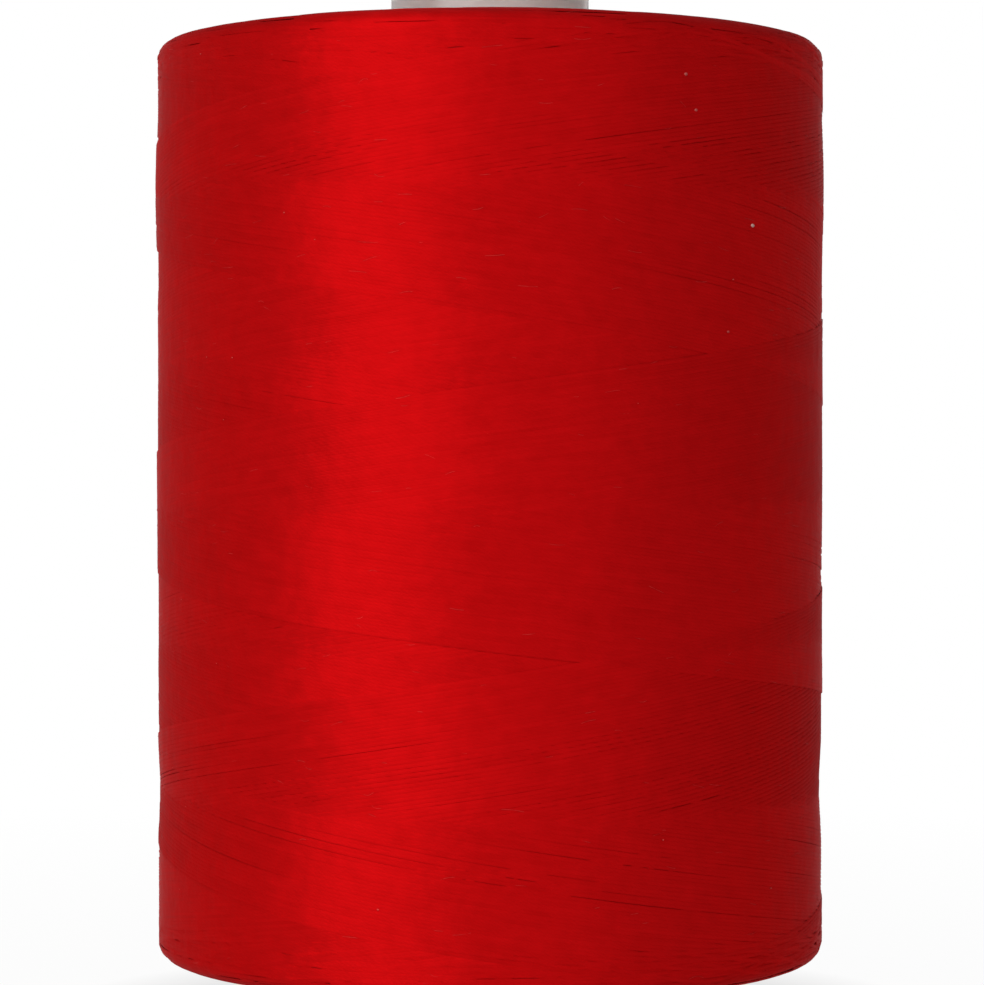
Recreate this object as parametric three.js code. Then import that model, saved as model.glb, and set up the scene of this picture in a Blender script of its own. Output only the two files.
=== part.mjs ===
// A spool of cotton sewing thread: a plain plastic tube with the thread cross-wound on it into a straight
// barrel with small round shoulders. Millimetres, +Z up, origin at the middle of the tube's lower end.

import * as THREE from "three";

// Driving dimensions.
const BARREL_DIAMETER = 43;
const BARREL_HEIGHT = 58.8;
const CORE_DIAMETER = 12.8;
const CORE_WALL = 1.8;
const CORE_STANDS_OUT = 4.1; // past the thread, at each end
const CORE_CHAMFER = 0.3;
const SHOULDER_RADIUS = 1.2;
const CLEARANCE = 0.3; // between the thread's inner turns and the core

// How the winding is uneven.
const RIM_WAVE = 0.08; // how far the rims rise and fall around the barrel
const RIM_WAVES = 6;
const RIM_WAVE_POWER = 9; // how quickly the waves die away from the rims
const END_DISH = 0.35; // how far the end faces sink towards the core
const SIDE_SWELLS = [
  // middle: height above the barrel's lower rim, reach: half its height, out: how far it stands out
  { middle: 49.6, reach: 5.5, out: 0.12 },
  { middle: 31.0, reach: 9.0, out: 0.05 },
  { middle: 10.8, reach: 4.0, out: -0.15 },
];

// How finely curves are cut into flats.
const CORE_SIDES = 72;
const BARREL_SIDES = 72;
const SHOULDER_STEPS = 4;
const SIDE_STEPS = 24;
const END_STEPS = 5;

const coreRadius = CORE_DIAMETER / 2;
const boreRadius = coreRadius - CORE_WALL;
const coreLength = BARREL_HEIGHT + 2 * CORE_STANDS_OUT;
const barrelRadius = BARREL_DIAMETER / 2;
const barrelLow = CORE_STANDS_OUT;

const plastic = new THREE.MeshStandardMaterial({ color: 0xc9c3bf, roughness: 0.45, metalness: 0 });
const redCotton = new THREE.MeshStandardMaterial({ color: 0xc30a10, roughness: 0.8, metalness: 0 });

// Turns a closed outline of [radius, height] points, listed with its solid side on the left, about the Z axis.
function turned(outline, sides) {
  const points = [...outline, outline[0]].map(([radius, height]) => new THREE.Vector2(radius, height));
  const geometry = new THREE.LatheGeometry(points, sides);
  return geometry.rotateX(Math.PI / 2);
}

// A smooth hump that is 1 at its middle and 0 from its reach outwards.
function hump(distance, reach) {
  return Math.abs(distance) < reach ? 0.5 + 0.5 * Math.cos((Math.PI * distance) / reach) : 0;
}

// How far the side stands out of the plain cylinder at a height above the barrel's lower rim.
function sideSwell(height) {
  return SIDE_SWELLS.reduce((sum, { middle, reach, out }) => sum + out * hump(height - middle, reach), 0);
}

// The moulded tube, with both ends chamfered inside and out.
function makeCore() {
  const outline = [
    [boreRadius + CORE_CHAMFER, 0],
    [coreRadius - CORE_CHAMFER, 0],
    [coreRadius, CORE_CHAMFER],
    [coreRadius, coreLength - CORE_CHAMFER],
    [coreRadius - CORE_CHAMFER, coreLength],
    [boreRadius + CORE_CHAMFER, coreLength],
    [boreRadius, coreLength - CORE_CHAMFER],
    [boreRadius, CORE_CHAMFER],
  ];
  const core = new THREE.Mesh(turned(outline, CORE_SIDES), plastic);
  core.name = "core";
  return core;
}

// One rim, from the hole's edge out over the end face and round the shoulder, as [radius, depth] points:
// depth is how far a point lies inside the barrel's full height.
function rimOutline() {
  const inner = coreRadius + CLEARANCE;
  const outer = barrelRadius - SHOULDER_RADIUS;
  const rim = [];
  for (let step = 0; step < END_STEPS; step++) {
    const share = step / END_STEPS;
    rim.push([inner + (outer - inner) * share, END_DISH * (1 - share) ** 2]);
  }
  for (let step = 0; step <= SHOULDER_STEPS; step++) {
    const turn = (Math.PI / 2) * (step / SHOULDER_STEPS);
    rim.push([outer + SHOULDER_RADIUS * Math.sin(turn), SHOULDER_RADIUS * (1 - Math.cos(turn))]);
  }
  return rim;
}

// The wound thread's outline: out along the lower rim, up the side and back in along the upper rim.
function windingOutline() {
  const lower = rimOutline();
  const upper = rimOutline().map(([radius, depth]) => [radius, BARREL_HEIGHT - depth]).reverse();
  const straight = BARREL_HEIGHT - 2 * SHOULDER_RADIUS;
  const side = [];
  for (let step = 1; step < SIDE_STEPS; step++) {
    const height = SHOULDER_RADIUS + (straight * step) / SIDE_STEPS;
    side.push([barrelRadius + sideSwell(height), height]);
  }
  return [...lower, ...side, ...upper].map(([radius, height]) => [radius, barrelLow + height]);
}

// The rims rise and fall a little around the barrel, most at the shoulder and not at all at half height.
function waveRims(geometry) {
  const place = geometry.getAttribute("position");
  const middle = barrelLow + BARREL_HEIGHT / 2;
  for (let i = 0; i < place.count; i++) {
    const [x, y, z] = [place.getX(i), place.getY(i), place.getZ(i)];
    const outward = Math.hypot(x, y) / barrelRadius;
    const fromMiddle = (z - middle) / (BARREL_HEIGHT / 2);
    const wave = Math.cos(RIM_WAVES * Math.atan2(y, x) + (z > middle ? 0 : 1));
    place.setZ(i, z + RIM_WAVE * wave * outward ** 2 * fromMiddle ** RIM_WAVE_POWER);
  }
  return geometry;
}

function makeWinding() {
  const winding = new THREE.Mesh(waveRims(turned(windingOutline(), BARREL_SIDES)), redCotton);
  winding.name = "thread_winding";
  return winding;
}

const spool = new THREE.Group();
spool.add(makeCore(), makeWinding());

export default spool;
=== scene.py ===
# A spool of red cotton sewing thread: a moulded tube, the thread wound across it from end to end and back,
# and the lint that such thread sheds. Metres, +Z up, standing on the tube's lower end.

import math
import bpy
import numpy as np
from mathutils import Euler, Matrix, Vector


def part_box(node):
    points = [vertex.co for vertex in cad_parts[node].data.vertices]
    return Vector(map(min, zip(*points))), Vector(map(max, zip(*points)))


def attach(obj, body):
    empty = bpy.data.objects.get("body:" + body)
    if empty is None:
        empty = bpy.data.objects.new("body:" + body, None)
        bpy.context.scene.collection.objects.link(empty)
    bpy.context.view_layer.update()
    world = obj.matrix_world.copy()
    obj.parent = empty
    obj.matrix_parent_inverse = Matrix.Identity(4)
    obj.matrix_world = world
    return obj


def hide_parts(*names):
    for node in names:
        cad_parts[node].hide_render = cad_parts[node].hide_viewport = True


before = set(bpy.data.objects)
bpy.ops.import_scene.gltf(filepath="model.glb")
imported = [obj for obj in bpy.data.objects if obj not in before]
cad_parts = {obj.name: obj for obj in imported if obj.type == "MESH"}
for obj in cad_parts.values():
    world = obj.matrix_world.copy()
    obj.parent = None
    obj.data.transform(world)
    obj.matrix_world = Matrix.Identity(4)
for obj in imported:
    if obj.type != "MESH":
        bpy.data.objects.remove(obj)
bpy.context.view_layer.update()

MM = 0.001
chance = np.random.default_rng(50)


# ---------------------------------------------------------------------------------------------------------
# The tube. One injection moulding in a pale grey, slightly milky plastic, open right through so that it
# drops over a machine's spool pin. Its ends are square, with the mould's small rounds on all four edges.
# ---------------------------------------------------------------------------------------------------------

tube_low, tube_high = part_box("core")
TUBE_RADIUS = tube_high.x
TUBE_WALL = 1.8 * MM
TUBE_LENGTH = tube_high.z - tube_low.z
TUBE_ROUND = 0.35 * MM


def nothing_selected():
    """Leaves object mode with nothing selected, so that the next operator touches only its own piece."""
    if bpy.context.object and bpy.context.object.mode != "OBJECT":
        bpy.ops.object.mode_set(mode="OBJECT")
    bpy.ops.object.select_all(action="DESELECT")


def pick(piece, kind, wanted):
    """In edit mode, selects only the vertices, edges or faces for which wanted(item, mesh) is true."""
    bpy.ops.mesh.select_mode(type=kind)
    bpy.ops.mesh.select_all(action="DESELECT")
    bpy.ops.object.mode_set(mode="OBJECT")
    mesh = piece.data
    items = {"VERT": mesh.vertices, "EDGE": mesh.edges, "FACE": mesh.polygons}[kind]
    for item in items:
        item.select = bool(wanted(item, mesh))
    bpy.ops.object.mode_set(mode="EDIT")


def drilled_cylinder(name, radius, hole_radius, low, high, corners):
    """An upright cylinder with a hole right through it, left in edit mode."""
    nothing_selected()
    bpy.ops.mesh.primitive_cylinder_add(
        vertices=corners, radius=radius, depth=high - low, location=(0, 0, (low + high) / 2)
    )
    piece = bpy.context.object
    piece.name = name
    bpy.ops.object.transform_apply(location=True, rotation=True, scale=True)
    bpy.ops.object.mode_set(mode="EDIT")
    pick(piece, "FACE", lambda face, mesh: abs(face.normal.z) > 0.9)
    bpy.ops.mesh.inset(thickness=radius - hole_radius, use_even_offset=True)
    bpy.ops.mesh.bridge_edge_loops()
    return piece


def rim_edges(radius, height, slack=0.02 * MM):
    """Picks the edges of the circle of this radius at this height, for use with pick()."""

    def on_circle(edge, mesh):
        ends = [mesh.vertices[v].co for v in edge.vertices]
        return all(
            abs(math.hypot(p.x, p.y) - radius) < slack and abs(p.z - height) < slack for p in ends
        )

    return on_circle


tube = drilled_cylinder("tube", TUBE_RADIUS, TUBE_RADIUS - TUBE_WALL, 0, TUBE_LENGTH, 160)
four_rims = [
    rim_edges(radius, height)
    for radius in (TUBE_RADIUS, TUBE_RADIUS - TUBE_WALL)
    for height in (0, TUBE_LENGTH)
]
pick(tube, "EDGE", lambda edge, mesh: any(rim(edge, mesh) for rim in four_rims))
bpy.ops.mesh.bevel(offset=TUBE_ROUND, segments=5, affect="EDGES")
nothing_selected()
tube.select_set(True)
bpy.ops.object.shade_smooth_by_angle(angle=math.radians(40))


class Wire:
    """A number in a material's node tree. Sums written with it add the Math nodes that work them out."""

    def __init__(self, finish, socket):
        self.finish = finish
        self.socket = socket

    def math(self, operation, *others):
        return self.finish.node("Math", {"operation": operation}, self, *others)

    def __add__(self, other):
        return self.math("ADD", other)

    def __mul__(self, other):
        return self.math("MULTIPLY", other)

    __radd__ = __add__
    __rmul__ = __mul__


class Finish:
    """The node tree of a material or a world, with one method that adds any node."""

    def __init__(self, owner):
        self.owner = owner
        owner.use_nodes = True
        self.tree = owner.node_tree
        self.tree.nodes.clear()

    def node(self, kind, settings, *inputs, output=0, **named):
        """Adds a shader node with its settings and then its inputs, and returns the output asked for."""
        made = self.tree.nodes.new("ShaderNode" + kind)
        for key, value in settings.items():
            if key == "stops":
                self.set_stops(made.color_ramp, value)
            else:
                setattr(made, key, value)
        sockets = list(enumerate(inputs))
        sockets += [(key.replace("_", " "), value) for key, value in named.items()]
        for key, value in sockets:
            if isinstance(value, Wire):
                self.tree.links.new(value.socket, made.inputs[key])
            else:
                made.inputs[key].default_value = value
        return Wire(self, made.outputs[output])

    @staticmethod
    def set_stops(ramp, stops):
        while len(ramp.elements) < len(stops):
            ramp.elements.new(1)
        for element, (place, colour) in zip(ramp.elements, stops):
            element.position = place
            element.color = (*colour, 1)

    def show(self, shader, output="OutputMaterial"):
        """Makes this shader what the surface or the world shows."""
        end = self.tree.nodes.new("ShaderNode" + output)
        self.tree.links.new(shader.socket, end.inputs["Surface"])
        return self.owner


def milky_plastic():
    """Pale grey moulded plastic: faint flow marks in its colour, and a satin skin with some orange peel."""
    finish = Finish(bpy.data.materials.new("milky_plastic"))
    place = finish.node("TexCoord", {}, output=3)
    flow = finish.node("Mapping", {}, place, Scale=(1, 1, 0.25))
    clouds = finish.node("TexNoise", {}, flow, Scale=220, Detail=3)
    peel = finish.node("TexNoise", {}, place, Scale=2600, Detail=2)
    colour = finish.node(
        "ValToRGB", {"stops": [(0.3, (0.75, 0.66, 0.635)), (0.7, (0.81, 0.72, 0.695))]}, clouds
    )
    skin = finish.node("Bump", {}, Strength=0.12, Distance=0.02 * MM, Height=peel)
    return finish.show(
        finish.node(
            "BsdfPrincipled",
            {},
            Base_Color=colour,
            Roughness=0.20 + clouds * 0.10,
            IOR=1.49,
            Subsurface_Weight=0.8,
            Subsurface_Radius=(1, 0.9, 0.85),
            Subsurface_Scale=3 * MM,
            Transmission_Weight=0.65,
            Normal=skin,
        )
    )


tube.data.materials.append(milky_plastic())
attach(tube, "root")
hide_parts("core")


# ---------------------------------------------------------------------------------------------------------
# The wound body. The thousands of turns under the surface, which show only as the dark red between the
# outer turns, so one solid of their form does for them: a barrel with round shoulders and dished ends.
# ---------------------------------------------------------------------------------------------------------

wound_low, wound_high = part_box("thread_winding")
SWELL = 0.12 * MM  # how far the fullest stretch of the side stands out of the plain barrel
RIM_WAVE = 0.08 * MM  # how far the rims rise and fall
BARREL_RADIUS = wound_high.x - SWELL
BARREL_LOW = wound_low.z + RIM_WAVE
BARREL_HIGH = wound_high.z - RIM_WAVE
TUBE_GAP = 0.3 * MM
OUTER_TURNS_DEPTH = 0.19 * MM  # how deep the turns are that are made one by one
SHOULDER_RADIUS = 0.95 * MM
END_DISH = 0.35 * MM
BODY_RADIUS = BARREL_RADIUS - OUTER_TURNS_DEPTH
BODY_LOW = BARREL_LOW + OUTER_TURNS_DEPTH
BODY_HIGH = BARREL_HIGH - OUTER_TURNS_DEPTH
HOLE_RADIUS = TUBE_RADIUS + TUBE_GAP

# The outline of the body that the outer turns lie on, measured along it from the lower edge of its hole: end
# face, shoulder, side, shoulder, end face.
END_LENGTH = BODY_RADIUS - SHOULDER_RADIUS - HOLE_RADIUS
SHOULDER_LENGTH = SHOULDER_RADIUS * math.pi / 2
SIDE_LENGTH = BODY_HIGH - BODY_LOW - 2 * SHOULDER_RADIUS
STARTS = np.cumsum([0, END_LENGTH, SHOULDER_LENGTH, SIDE_LENGTH, SHOULDER_LENGTH, END_LENGTH])
OUTLINE_LENGTH = STARTS[-1]

# Where the side swells and sinks: height above the lower rim, half its height, how far it stands out.
SIDE_SWELLS = [
    (49.6 * MM, 5.5 * MM, SWELL),
    (31 * MM, 9 * MM, 0.05 * MM),
    (10.8 * MM, 4 * MM, -0.15 * MM),
]


def on_outline(along):
    """Radius, height and outward normal (radial, upward) of the outline at these distances along it."""
    along = np.clip(along, 0, OUTLINE_LENGTH)
    upper = along > OUTLINE_LENGTH / 2
    from_hole = np.where(upper, OUTLINE_LENGTH - along, along)
    turn = np.clip((from_hole - STARTS[1]) / SHOULDER_RADIUS, 0, math.pi / 2)
    share = np.clip(from_hole / END_LENGTH, 0, 1)
    radius = HOLE_RADIUS + np.minimum(from_hole, END_LENGTH) + SHOULDER_RADIUS * np.sin(turn)
    climb = SHOULDER_RADIUS * (1 - np.cos(turn)) + np.maximum(from_hole - STARTS[2], 0)
    depth = climb + END_DISH * (1 - share) ** 2
    height = np.where(upper, BODY_HIGH - depth, BODY_LOW + depth)
    for middle, reach, out in SIDE_SWELLS:
        distance = np.clip((height - BARREL_LOW - middle) / reach, -1, 1)
        radius = radius + out * (1 + np.cos(math.pi * distance)) / 2
    return radius, height, np.sin(turn), np.where(upper, 1, -1) * np.cos(turn)


steps = [7, 7, 60, 7, 7]  # of each stretch of the outline
body_along = np.concatenate(
    [np.linspace(STARTS[k], STARTS[k + 1], steps[k], endpoint=False) for k in range(5)] + [STARTS[-1:]]
)
body_radius, body_height = on_outline(body_along)[:2]
count = len(body_along)
nothing_selected()
mesh = bpy.data.meshes.new("wound_body")
mesh.from_pydata(
    [(r, 0, h) for r, h in zip(body_radius, body_height)], [(k, (k + 1) % count) for k in range(count)], []
)
body = bpy.data.objects.new("wound_body", mesh)
bpy.context.collection.objects.link(body)
bpy.context.view_layer.objects.active = body
body.select_set(True)
bpy.ops.object.mode_set(mode="EDIT")
bpy.ops.mesh.select_all(action="SELECT")
bpy.ops.mesh.spin(steps=144, angle=2 * math.pi, center=(0, 0, 0), axis=(0, 0, 1))
bpy.ops.mesh.select_all(action="SELECT")
bpy.ops.mesh.remove_doubles(threshold=0.001 * MM)
bpy.ops.mesh.normals_make_consistent(inside=False)
nothing_selected()
body.select_set(True)
bpy.ops.object.shade_smooth_by_angle(angle=math.radians(40))


def shaded_cotton():
    """The same red cotton down between the turns, where little light reaches. It is given a little darker
    red than the outer turns: painted shade.
    """
    finish = Finish(bpy.data.materials.new("shaded_cotton"))
    place = finish.node("TexCoord", {}, output=3)
    stretched = finish.node("Mapping", {}, place, Scale=(1, 1, 14))
    grain = finish.node("TexNoise", {}, stretched, Scale=500, Detail=3)
    # A little darker than the outer turns' red: painted shade for the depth between the turns.
    colour = finish.node(
        "ValToRGB", {"stops": [(0.3, (0.44, 0.003, 0.004)), (0.7, (0.56, 0.004, 0.005))]}, grain
    )
    return finish.show(
        finish.node("BsdfPrincipled", {}, Base_Color=colour, Roughness=0.9, Specular_IOR_Level=0.1)
    )


body.data.materials.append(shaded_cotton())
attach(body, "root")
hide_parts("thread_winding")


# ---------------------------------------------------------------------------------------------------------
# The outer turns. Three-ply mercerised cotton, laid by the winder at about eight degrees, three times round
# on its way up and three times round on its way down, each double stroke one thread's width further on. So
# turns lie side by side in long slanting patches, and each patch's edge crosses over the patch before it.
# ---------------------------------------------------------------------------------------------------------

THREAD_WIDTH = 0.26 * MM  # pressed flat by its neighbours
THREAD_DEPTH = 0.14 * MM
CORNERS = 96  # of one turn round the barrel
BETWEEN = 3  # places between two corners where a turn feels what it lies on
COLUMNS = CORNERS * BETWEEN
STEP = 0.025 * MM  # of the height map, along the outline
BURIED = 0.3 * THREAD_DEPTH  # a turn this far under others doesn't show
REACH = int(THREAD_WIDTH / 2 / STEP)

pile = np.zeros((COLUMNS, int(OUTLINE_LENGTH / STEP) + 2 * REACH + 2))  # how high thread lies on the outline
FELT = 3  # cells each side of its middle where a turn rests on others: its flanks slide in beside them
TAUT = 12  # places each way over which a turn's pull levels it
BRIDGE = 8  # places each way over which it passes from one height to another
PRESS = 0.3  # of a thread's depth that it may stand above that level: what is higher, it presses flat


def arch(reach):
    """How far the thread's top stands above its middle, over this many cells each side."""
    across = np.arange(-reach, reach + 1)
    return across, THREAD_DEPTH / 2 * np.sqrt(1 - 0.98 * (across * STEP / (THREAD_WIDTH / 2)) ** 2)


def cells(column, along, across):
    """The height map's cells under a thread whose middle runs through these columns and distances."""
    middle = np.rint(np.clip(along, 0, OUTLINE_LENGTH) / STEP).astype(int) + REACH
    return np.rint(column).astype(int)[:, None] % COLUMNS, middle[:, None] + across


def averaged(values, reach):
    """Each value's mean with this many on each side of it."""
    total = np.cumsum(np.pad(values, (reach + 1, reach), mode="edge"))
    return (total[2 * reach + 1 :] - total[: -2 * reach - 1]) / (2 * reach + 1)


def lay(column, along, start_rest=None, limits=(0, 1), dive=0):
    """Lays a stretch of taut thread on the pile and returns how high its middle rests at each corner.

    column counts the places that it passes round the barrel, from one corner to another."""
    across, belly = arch(FELT)
    felt = (pile[cells(column, along, across)] + belly).max(axis=1)
    near = np.pad(felt, BETWEEN, mode="edge")
    peaks = np.max([near[k : k + len(column)] for k in range(2 * BETWEEN + 1)], axis=0)
    rest = np.clip(np.minimum(peaks, averaged(felt, TAUT) + PRESS * THREAD_DEPTH), *limits)
    rest = averaged(rest, BRIDGE)[::BETWEEN] - dive
    if start_rest is not None:  # it goes on from where the stretch before it ended
        rest[:4] += (start_rest - rest[0]) * np.array([1, 0.75, 0.5, 0.25])
    across, back = arch(REACH)
    over = np.interp(column, column[::BETWEEN], rest)[:, None] + back
    kept = slice(0, -1)  # the last place is laid with the stretch that follows
    covered = cells(column[kept], along[kept], across)
    pile[covered] = np.maximum(pile[covered], over[kept])
    return rest


def smooth_noise(count, spacing):
    """Numbers of spread 1 that change smoothly, with a new one every so many places."""
    knots = chance.normal(size=int(count / spacing) + 3)
    x = np.arange(count) / spacing
    i = x.astype(int)
    ease = (x - i) ** 2 * (3 - 2 * (x - i))
    return knots[i] * (1 - ease) + knots[i + 1] * ease


# The ends. Where the thread turns back it shows as short arcs round the tube, one layer outside another.
RING_PITCH = 0.21 * MM
ARC_LENGTH = 10 * MM
ARC_OVERLAP = 1.35
ARC_DRIFT = 0.10 * MM  # outwards, from one end of an arc to the other
ARC_DIVE = 0.15 * MM  # how far an arc's ends go down between the others
arcs = []
for upper in (False, True):
    for from_hole in np.arange(RING_PITCH / 2, STARTS[2] + 1.3 * MM, RING_PITCH):
        ring_radius = on_outline(np.array([from_hole]))[0][0]
        share = ARC_LENGTH / (2 * math.pi * ring_radius)
        many = round(1 / share)
        first = chance.uniform(0, COLUMNS)
        for number in range(many):
            corners = round(CORNERS / many * ARC_OVERLAP * chance.uniform(0.9, 1.25))
            start = BETWEEN * round((first + number * COLUMNS / many) / BETWEEN)
            column = start + np.arange(corners * BETWEEN + 1)
            t = np.linspace(-1, 1, len(column))
            from_edge = from_hole + ARC_DRIFT / 2 * t + 0.02 * MM * smooth_noise(len(t), 20)
            from_edge = np.maximum(from_edge, RING_PITCH / 2)
            along = OUTLINE_LENGTH - from_edge if upper else from_edge
            rest = lay(column, along, dive=ARC_DIVE * np.abs(t[::BETWEEN]) ** 6)
            arcs.append((column, along, rest))

# The side. The winder's stroke, and how unevenly it lays.
TURNS_PER_STROKE = 3
LAY_PITCH = 0.222 * MM  # from one turn to the next beside it
STROKES = 204
LAST_TURN = math.radians(-63)  # where round the barrel the last stroke ends
REVERSAL = 3.0 * MM  # how gently the thread turns back at the rims
STROKE_LOW = STARTS[2]
STROKE_HIGH = STARTS[3]
EDGE_SPREAD = (-1.0 * MM, 1.4 * MM)  # how far beyond these a stroke may turn back
GOLDEN = (math.sqrt(5) - 1) / 2  # spreads the turning places evenly between those two
EDGE_LENGTH = 7 * MM
WANDER = 0.9 * MM  # of the traverse along its stroke, alike for neighbouring strokes
WANDER_LENGTH = 37 * MM
WANDER_EASE = 9 * MM  # how far inside the rims the wander is full
PLACE_LENGTH = 2 * math.pi * BARREL_RADIUS / COLUMNS
PROUD = 0.75 * THREAD_DEPTH  # the most that pressure lets a turn stand above the pile as a whole
SUNK = 1.3 * THREAD_DEPTH  # the most that its own pull lets it lie below
stroke_slope = (STROKE_HIGH - STROKE_LOW) / (TURNS_PER_STROKE * COLUMNS * PLACE_LENGTH)
step_back = LAY_PITCH / stroke_slope / PLACE_LENGTH  # places, for each double stroke
side_cells = slice(int(STARTS[2] / STEP) + REACH, int(STARTS[3] / STEP) + REACH)


def stroke_path(column, turned, turns_next, upwards, low_reach, high_reach, phase):
    """Distances along the outline at these columns, for a stroke between its two turning places."""
    x = (column - turned) * PLACE_LENGTH
    length = (turns_next - turned) * PLACE_LENGTH
    slope = (STROKE_HIGH - STROKE_LOW) / length
    from_low, from_high = (x, length - x) if upwards else (length - x, x)
    above_low = STROKE_LOW + slope * np.hypot(from_low, REVERSAL)
    below_high = STROKE_HIGH - slope * np.hypot(from_high, REVERSAL)
    along = np.where(from_low < from_high, above_low, below_high)
    along = along - low_reach * np.exp(-((from_low / EDGE_LENGTH) ** 2))
    along = along + high_reach * np.exp(-((from_high / EDGE_LENGTH) ** 2))
    inside = np.clip(np.minimum(along - STROKE_LOW, STROKE_HIGH - along) / WANDER_EASE, 0, 1)
    inside = inside**2 * (3 - 2 * inside)
    wander = WANDER * inside * np.sin(2 * math.pi * along / WANDER_LENGTH + phase)
    return along + wander + 0.01 * MM * smooth_noise(len(column), 40)


uneven = np.clip(0.06 * smooth_noise(STROKES, 9) + 0.04 * smooth_noise(STROKES, 1), -0.08, 0.3)
turns = TURNS_PER_STROKE * COLUMNS - step_back / 2 * (1 + uneven)
turning = np.cumsum(np.append(0, turns))
turning += LAST_TURN / (2 * math.pi) * COLUMNS - turning[-1]
turning += COLUMNS * math.ceil(-turning[0] / COLUMNS)
strokes = []
low_reach = high_reach = 0
rest = None
for number in range(STROKES):
    upwards = number % 2 == 0
    first = BETWEEN * math.ceil(turning[number] / BETWEEN)
    last = BETWEEN * math.ceil(turning[number + 1] / BETWEEN)
    column = np.arange(first, last + 1)
    reach = EDGE_SPREAD[0] + (EDGE_SPREAD[1] - EDGE_SPREAD[0]) * (number * GOLDEN % 1)
    low_reach, high_reach = (low_reach, reach) if upwards else (reach, high_reach)
    phase = 2.0 * number / STROKES + (0 if upwards else 2.0)
    along = stroke_path(column, turning[number], turning[number + 1], upwards, low_reach, high_reach, phase)
    typical = pile[:, side_cells].mean()
    limits = (typical - SUNK, typical + PROUD)
    rest = lay(column, along, limits=limits, start_rest=None if rest is None else rest[-1])
    strokes.append((column, along, rest))


def seen(column, along, rest):
    """Whether each length of thread between two corners shows, now that all of it is laid."""
    across, back = arch(FELT)
    over = np.interp(column, column[::BETWEEN], rest)[:, None] + back
    hidden = (pile[cells(column, along, across)] - over).min(axis=1)
    shows = hidden < BURIED
    count = len(rest) - 1
    return np.array([shows[k * BETWEEN : (k + 1) * BETWEEN + 1].any() for k in range(count)])


def shown_runs(stretches):
    """Cuts the stretches down to the runs that show, each with a hidden length kept at both of its ends."""
    runs = []
    for column, along, rest in stretches:
        shows = seen(column, along, rest)
        grown = shows | np.append(shows[1:], False) | np.append(False, shows[:-1])
        edges = np.flatnonzero(np.diff(np.concatenate([[0], grown.astype(int), [0]])))
        for begin, end in zip(edges[::2], edges[1::2]):
            part = slice(begin, end + 1)
            runs.append((column[::BETWEEN][part], along[::BETWEEN][part], rest[part]))
    return runs


# The whole winding is pressed to an even thickness, all but a share of how it rises and falls.
UNPRESSED = 0.33
UNPRESSED_ENDS = 0.25
UNPRESSED_SLOWLY = 0.35  # and again of what rises and falls slowly
SLOW = 3.5 * MM  # over more than this
waves_round = np.fft.fftfreq(COLUMNS, PLACE_LENGTH)[:, None]
waves_along = np.fft.rfftfreq(pile.shape[1], STEP)
slow_share = np.exp(-2 * (math.pi * SLOW) ** 2 * (waves_round**2 + waves_along**2))
slow_pile = np.fft.irfft2(np.fft.rfft2(pile) * slow_share, pile.shape)
excess = pile.mean(axis=0) + (1 - UNPRESSED_SLOWLY) * (slow_pile - slow_pile.mean(axis=0))


def pressed(column, along, rest):
    """How far over the body these places of a thread end up, from how high they rested on the pile."""
    share = np.interp(
        np.minimum(along, OUTLINE_LENGTH - along),
        [STARTS[2], STARTS[2] + 3 * MM],
        [UNPRESSED_ENDS, UNPRESSED],
    )
    return OUTER_TURNS_DEPTH - THREAD_DEPTH / 2 + share * (rest - excess[cells(column, along, [0])][:, 0])


# A turn's cross-section, as widths sideways and depths outwards, and the normals that its fuzz gives it.
SECTION = [(-0.24, 0.46), (0.24, 0.46), (0.5, 0.02), (0, -0.5), (-0.5, 0.02)]
FUZZY_NORMALS = [(-0.06, 1), (0.06, 1), (0.17, 1), (0, -1), (-0.17, 1)]
SIDES = len(SECTION)
MAP_SIZE = 1024  # dots along one side of the map that each thread's faces are laid out on
MAP_ROWS = MAP_SIZE // SIDES


def side_by_side(lengths, caps):
    """A map that gives each face of a thread its own place: row over row of lengths, and the caps above."""
    in_row = math.ceil(lengths / MAP_ROWS)
    row, place = np.divmod(np.arange(lengths), in_row)
    u = (place[:, None, None] + np.array([0, 1, 1, 0])) / in_row
    k = np.arange(SIDES)[:, None]
    v = (row[:, None, None] * SIDES + k + np.array([0, 0, 1, 1])) / MAP_SIZE
    faces = np.stack(np.broadcast_arrays(u, v), axis=3).reshape(-1, 2)
    around = np.arange(SIDES) * 2 * math.pi / SIDES
    cap = 0.998 + 0.0015 * np.stack([np.cos(around), np.sin(around)], axis=1)
    return np.concatenate([faces, np.tile(cap, (caps, 1))])


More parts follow.
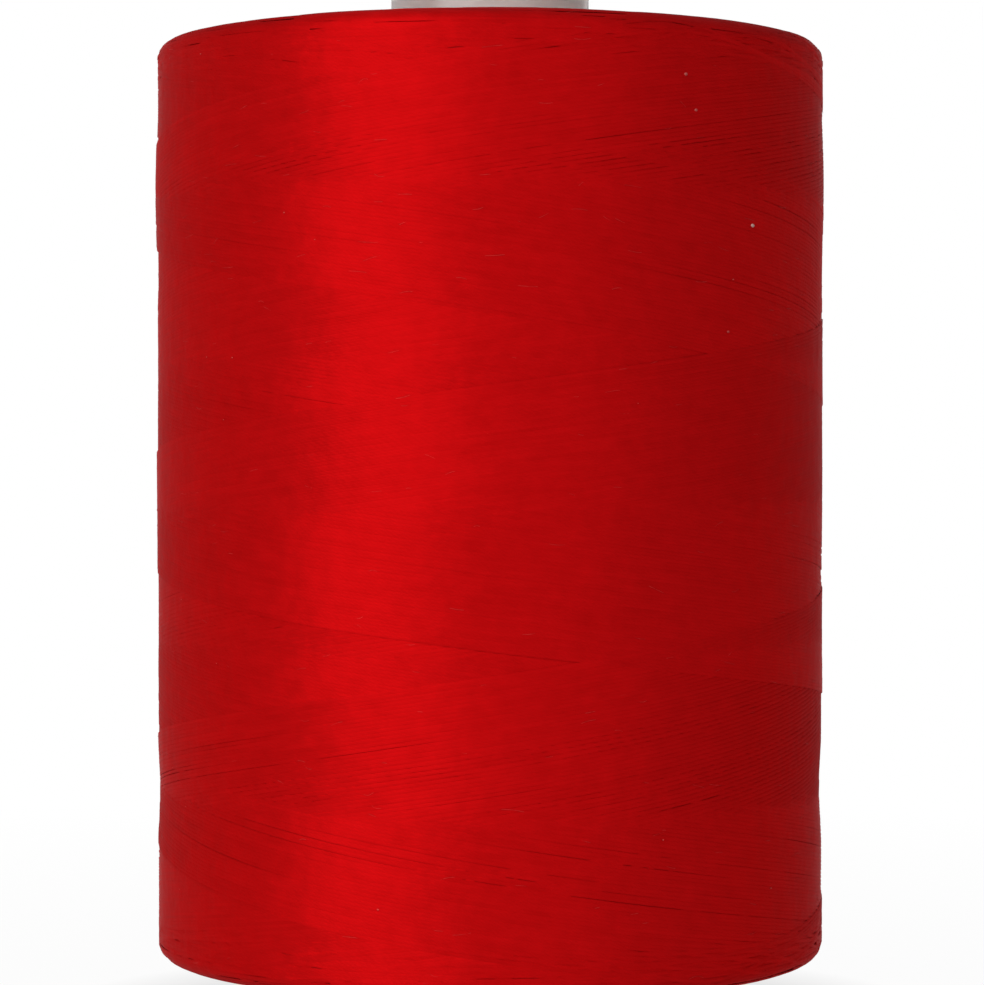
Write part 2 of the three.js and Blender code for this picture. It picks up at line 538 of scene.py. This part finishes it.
def thread_mesh(name, runs, width, depth):
    """One mesh of closed threads along these runs, with a map of each thread's surface for its twist."""
    count = np.array([len(run[0]) for run in runs])
    column, along, rest = (np.concatenate([run[k] for run in runs]) for k in range(3))
    rest = pressed(column, along, rest)
    run_of = np.repeat(np.arange(len(runs)), count)
    radius, height, normal_r, normal_z = on_outline(along)
    angle = column * 2 * math.pi / COLUMNS
    out = np.stack([np.cos(angle), np.sin(angle), np.zeros_like(angle)], axis=1)
    up = np.array([0, 0, 1.0])
    middle = out * (radius + normal_r * rest)[:, None] + up * (height + normal_z * rest)[:, None]
    normal = out * normal_r[:, None] + up * normal_z[:, None]
    last = np.cumsum(count) - 1
    first = last - count + 1
    before = np.maximum(np.arange(len(column)) - 1, first[run_of])
    after = np.minimum(np.arange(len(column)) + 1, last[run_of])
    ahead = middle[after] - middle[before]
    ahead /= np.linalg.norm(ahead, axis=1)[:, None]
    sideways = np.cross(normal, ahead)
    sideways /= np.linalg.norm(sideways, axis=1)[:, None]
    normal = np.cross(ahead, sideways)
    thickness = 1 + 0.05 * smooth_noise(len(column), 5)
    rise = (depth * thickness)[:, None] * np.array([profile[1] for profile in SECTION])
    spread = (width * thickness)[:, None] * np.array([profile[0] for profile in SECTION])
    corners = middle[:, None] + rise[..., None] * normal[:, None] + spread[..., None] * sideways[:, None]

    ring = np.delete(np.arange(len(column)), last)  # rings with another after them
    k = np.arange(SIDES)
    k_next = (k + 1) % SIDES
    quads = np.stack(
        [
            ring[:, None] * SIDES + k,
            (ring[:, None] + 1) * SIDES + k,
            (ring[:, None] + 1) * SIDES + k_next,
            ring[:, None] * SIDES + k_next,
        ],
        axis=2,
    ).reshape(-1, 4)
    caps = np.concatenate([first[:, None] * SIDES + k, last[:, None] * SIDES + k[::-1]])
    loops = np.concatenate([quads.ravel(), caps.ravel()])
    sizes = np.concatenate([np.full(len(quads), 4), np.full(len(caps), SIDES)])

    mesh = bpy.data.meshes.new(name)
    mesh.vertices.add(len(corners) * SIDES)
    mesh.vertices.foreach_set("co", corners.ravel())
    mesh.loops.add(len(loops))
    mesh.loops.foreach_set("vertex_index", loops)
    mesh.polygons.add(len(sizes))
    mesh.polygons.foreach_set("loop_start", np.concatenate([[0], np.cumsum(sizes)[:-1]]))
    mesh.polygons.foreach_set("use_smooth", np.arange(len(sizes)) < len(quads))

    # How far along its thread each ring is, from a random start, and where round it each corner is.
    length = np.linalg.norm(np.diff(middle, axis=0, prepend=middle[:1]), axis=1)
    length[first] = chance.uniform(0, 9 * MM, size=len(first))
    run_length = np.cumsum(length)
    run_length -= (run_length[first] - length[first])[run_of]
    here, there = run_length[ring] / MM, run_length[ring + 1] / MM
    lengthwise = np.stack([here, there, there, here], axis=1)[:, None]
    round_it = np.stack([k, k, k + 1, k + 1], axis=1)[None] / SIDES
    twist = np.zeros((len(loops), 2))
    twist[: len(quads) * 4] = np.stack(np.broadcast_arrays(lengthwise, round_it), axis=3).reshape(-1, 2)
    mesh.uv_layers.new(name="twist").uv.foreach_set("vector", twist.ravel())
    layout = side_by_side(len(ring), len(caps))
    mesh.uv_layers.new(name="OFBake").uv.foreach_set("vector", layout.ravel())
    thread_shade = chance.uniform(0, 1, size=len(runs))[run_of]
    shade = 0.3 * thread_shade + 0.7 * chance.uniform(0, 1, size=len(column))
    mesh.attributes.new("shade", "FLOAT", "POINT").data.foreach_set("value", shade.repeat(SIDES))
    mesh.update(calc_edges=True)
    soft = np.array([n[0] for n in FUZZY_NORMALS])[:, None] * sideways[:, None]
    soft = soft + np.array([n[1] for n in FUZZY_NORMALS])[:, None] * normal[:, None]
    soft /= np.linalg.norm(soft, axis=2)[..., None]
    mesh.normals_split_custom_set_from_vertices(soft.reshape(-1, 3))
    piece = bpy.data.objects.new(name, mesh)
    bpy.context.collection.objects.link(piece)
    return piece


PLY_LENGTH = 1.3  # millimetres of thread in which its three plies go once round
FIBRE_LEAN = 1.5  # fibres lean this many times as far as their thread, because they twist with the plies


def mercerised_cotton(name, lean):
    """Bright red three-ply cotton, a little uneven, with a thin fuzz. The fibres' silky gloss spreads across
    them and hardly along them, so the finish is given how many degrees the thread leans from level."""
    finish = Finish(bpy.data.materials.new(name))
    twist = finish.node("UVMap", {"uv_map": "twist"})
    along = finish.node("SeparateXYZ", {}, twist)
    around = finish.node("SeparateXYZ", {}, twist, output=1)
    ply_relief_and_shade = finish.node("Math", {"operation": "PINGPONG"}, along * (3 / PLY_LENGTH) + around * 3, 0.5)
    shade = finish.node("Attribute", {"attribute_name": "shade"}, output=2)
    place = finish.node("TexCoord", {}, output=3)
    lumps = finish.node("TexNoise", {}, place, Scale=800, Detail=2)
    # The plies' share makes the colour lighter on their ridges and darker down the grooves between them,
    # where the bump is low: painted shade. shade and lumps are the cotton's own uneven tone.
    tone = 0.25 + shade * 0.24 + ply_relief_and_shade * 0.14 + lumps * 0.28
    colour = finish.node(
        "ValToRGB",
        {"stops": [(0.2, (0.45, 0.0022, 0.0027)), (0.8, (0.67, 0.0040, 0.0056))]},
        tone,
    )
    ridges = finish.node("Bump", {}, Strength=0.3, Distance=0.015 * MM, Height=ply_relief_and_shade + lumps * 12)
    return finish.show(
        finish.node(
            "BsdfPrincipled",
            {},
            Base_Color=colour,
            Roughness=0.49 + shade * 0.06,
            Metallic=0.45,
            Anisotropic=0.75,
            Anisotropic_Rotation=0.25 + FIBRE_LEAN * lean / 360,
            Specular_IOR_Level=0.004,
            Sheen_Weight=0.035,
            Sheen_Roughness=0.5,
            Specular_Tint=(0.7, 0.035, 0.035, 1),
            Normal=ridges,
        )
    )


LEAN = math.degrees(math.atan(stroke_slope))
outer_turns = [
    thread_mesh("rising_turns", shown_runs(strokes[0::2]), THREAD_WIDTH, THREAD_DEPTH),
    thread_mesh("falling_turns", shown_runs(strokes[1::2]), THREAD_WIDTH, THREAD_DEPTH),
    thread_mesh("end_turns", shown_runs(arcs), THREAD_WIDTH, THREAD_DEPTH),
]
for piece, lean in zip(outer_turns, (LEAN, -LEAN, 0)):
    piece.data.materials.append(mercerised_cotton(piece.name.replace("turns", "cotton"), lean))
    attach(piece, "root")


# ---------------------------------------------------------------------------------------------------------
# Lint. Single fibres that have worked loose and lie along the outer turns, held down at both ends, and
# specks of fluff that took little dye.
# ---------------------------------------------------------------------------------------------------------

FIBRES = 600
FIBRE_WIDTH = 0.02 * MM
FIBRE_LIFT = 0.04 * MM
fibres = []
for number in range(FIBRES):
    count = chance.integers(4, 8)
    column = chance.uniform(0, COLUMNS) + chance.uniform(0.2, 0.5) * np.arange(count)
    t = np.linspace(-1, 1, count)
    along = chance.uniform(STARTS[1], STARTS[4]) + chance.normal() * 0.08 * MM * t
    along += chance.normal() * 0.05 * MM * (1 - t**2)
    top = pile[cells(column, along, [0])][:, 0].max() + THREAD_DEPTH / 2
    fibres.append((column, along, top + FIBRE_LIFT * (1 - 2 * np.abs(t) ** 3) * chance.uniform(0.3, 2)))


def loose_fibre():
    """Cotton fibre on its own, from the thread's red to pink, by how much of the dye it took."""
    finish = Finish(bpy.data.materials.new("loose_fibre"))
    shade = finish.node("Attribute", {"attribute_name": "shade"}, output=2)
    colour = finish.node(
        "ValToRGB", {"stops": [(0.3, (0.62, 0.010, 0.011)), (0.9, (0.73, 0.05, 0.047))]}, shade
    )
    return finish.show(
        finish.node("BsdfPrincipled", {}, Base_Color=colour, Roughness=0.6, Specular_IOR_Level=0.2)
    )


lint = thread_mesh("loose_fibres", fibres, FIBRE_WIDTH, FIBRE_WIDTH)
lint.data.materials.append(loose_fibre())
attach(lint, "root")

# Degrees round from the front, height over the lower rim and size of the specks that catch the eye.
BIGGEST_SPECK = 0.27 * MM
SMALL_SPECKS = 36
speck_places = [
    (48, 46.3 * MM, BIGGEST_SPECK),
    (33, 55.1 * MM, 0.2 * MM),
    (35, 53 * MM, 0.2 * MM),
    (42, 39.8 * MM, 0.18 * MM),
]
for number in range(SMALL_SPECKS):
    place = (chance.uniform(0, 360), chance.uniform(2, 57) * MM, chance.uniform(0.06, 0.13) * MM)
    speck_places.append(place)
bits = []
for degrees, height, size in speck_places:
    nothing_selected()
    bpy.ops.mesh.primitive_ico_sphere_add(subdivisions=2, radius=size / 2)
    bpy.ops.transform.resize(value=(1.2, 0.4, chance.uniform(0.6, 1)))
    bpy.ops.transform.translate(value=(0, -BARREL_RADIUS, BARREL_LOW + height))
    bit = bpy.context.object
    bit.location.rotate(Euler((0, 0, math.radians(degrees))))
    bit.rotation_euler = (0, 0, math.radians(degrees))
    undyed = (size / BIGGEST_SPECK) ** 6
    attribute = bit.data.attributes.new("undyed", "FLOAT", "POINT")
    attribute.data.foreach_set("value", [undyed] * len(bit.data.vertices))
    bits.append(bit)
nothing_selected()
for bit in bits:
    bit.select_set(True)
bpy.context.view_layer.objects.active = bits[0]
bpy.ops.object.join()
specks = bpy.context.object
specks.name = "specks"
bpy.ops.object.transform_apply(location=True, rotation=True, scale=True)
bpy.ops.object.shade_smooth()


def pale_fluff():
    """Tufts of cotton, the biggest of them nearly white and the others stained by the thread."""
    finish = Finish(bpy.data.materials.new("pale_fluff"))
    undyed = finish.node("Attribute", {"attribute_name": "undyed"}, output=2)
    colour = finish.node(
        "ValToRGB", {"stops": [(0.1, (0.70, 0.08, 0.07)), (0.9, (0.95, 0.60, 0.54))]}, undyed
    )
    return finish.show(finish.node("BsdfPrincipled", {}, Base_Color=colour, Roughness=0.8))


specks.data.materials.append(pale_fluff())
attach(specks, "root")


# ---------------------------------------------------------------------------------------------------------
# The studio. A pale table, a large soft light in front and to the left, a weaker one to the right, and a
# surround that is white to look at, white low down in what a gloss mirrors, and dim above.
# ---------------------------------------------------------------------------------------------------------

TABLE_RADIUS = 1.2
SHADOW_REACH = 150 * MM  # from the spool's middle, where the table is wholly white again

nothing_selected()
bpy.ops.mesh.primitive_circle_add(vertices=96, radius=TABLE_RADIUS, fill_type="NGON")
table = bpy.context.object
table.name = "table"
bpy.ops.object.mode_set(mode="EDIT")
bpy.ops.mesh.subdivide(number_cuts=1)
bpy.ops.object.mode_set(mode="OBJECT")


def seen_rays(finish, mirror=1):
    """1 where the camera sees a thing, itself or through clear material, and otherwise 0. In a reflection
    it is as bright as mirror says."""
    camera = finish.node("LightPath", {})
    mirrored = finish.node("LightPath", {}, output=3) * mirror
    through = finish.node("LightPath", {}, output=6)
    either = finish.node("Math", {"operation": "MAXIMUM"}, camera, mirrored)
    return finish.node("Math", {"operation": "MAXIMUM"}, either, through)


def pale_table():
    finish = Finish(bpy.data.materials.new("pale_table"))
    place = finish.node("TexCoord", {}, output=3)
    grain = finish.node("TexNoise", {}, place, Scale=60, Detail=2)
    colour = finish.node("ValToRGB", {"stops": [(0, (0.28, 0.28, 0.28)), (1, (0.30, 0.30, 0.30))]}, grain)
    board = finish.node("BsdfDiffuse", {}, Color=colour)
    white = finish.node("Emission", {}, Strength=1.0)
    away = finish.node("VectorMath", {"operation": "LENGTH"}, place, output=1)
    # Near the spool less of the table is shown white and more of its dark board, lit or not: a painted
    # contact shadow ring round the spool, through which the board's real shadow also shows. It fades out
    # towards SHADOW_REACH.
    clear = finish.node(
        "ValToRGB",
        {"stops": [(0.14, (0.75, 0.75, 0.75)), (0.20, (0.97, 0.97, 0.97)), (0.9, (1, 1, 1))]},
        away * (1 / SHADOW_REACH),
    )
    share = seen_rays(finish) * clear
    return finish.show(finish.node("MixShader", {}, share, board, white))


table.data.materials.append(pale_table())

bpy.context.scene.world = bpy.data.worlds.new("surround")
surround = Finish(bpy.context.scene.world)
facing = surround.node("TexCoord", {}, output=0)
upwards = surround.node("SeparateXYZ", {}, facing, output=2)
room = surround.node("ValToRGB", {"stops": [(0.15, (1, 1, 1)), (0.5, (0.2, 0.2, 0.2))]}, upwards)
ROOM_LIGHT = 0.02  # what the surround adds to the light on the spool
strength = seen_rays(surround, room) * (1 - ROOM_LIGHT) + ROOM_LIGHT
surround.show(surround.node("Background", {}, Color=(1, 1, 1, 1), Strength=strength), "OutputWorld")

MIDDLE = (BARREL_LOW + BARREL_HIGH) / 2
LIGHT_DISTANCE = 2.1
LIGHT_ELEVATION = 23


def soft_light(name, azimuth, size, watts):
    """A square area light that faces the spool's middle. Azimuth 0 is in front, and 90 is on the right."""
    a, e = math.radians(azimuth), math.radians(LIGHT_ELEVATION)
    back = np.array([math.sin(a) * math.cos(e), -math.cos(a) * math.cos(e), math.sin(e)])
    lamp = bpy.data.lights.new(name, "AREA")
    lamp.size = size
    lamp.energy = watts
    light = bpy.data.objects.new(name, lamp)
    bpy.context.collection.objects.link(light)
    light.location = np.array([0, 0, MIDDLE]) + back * LIGHT_DISTANCE
    light.rotation_euler = (math.pi / 2 - e, 0, a)


soft_light("key", -38, 1.75, 30.5)
soft_light("fill", 16, 2.1, 9.7)

CAMERA_DISTANCE = 10.5 * BARREL_RADIUS
CAMERA_ABOVE_MIDDLE = 3.35 * MM
CAMERA_ASIDE = 0.13 * MM
CAMERA_TILT = 0.72  # degrees down from level
camera = bpy.data.cameras.new("camera")
camera.lens = 127
camera.sensor_width = 36
viewer = bpy.data.objects.new("camera", camera)
bpy.context.collection.objects.link(viewer)
viewer.location = (CAMERA_ASIDE, -CAMERA_DISTANCE, MIDDLE + CAMERA_ABOVE_MIDDLE)
viewer.rotation_euler = (math.radians(90 - CAMERA_TILT), 0, 0)
bpy.context.scene.camera = viewer
bpy.context.scene.view_settings.view_transform = "Standard"
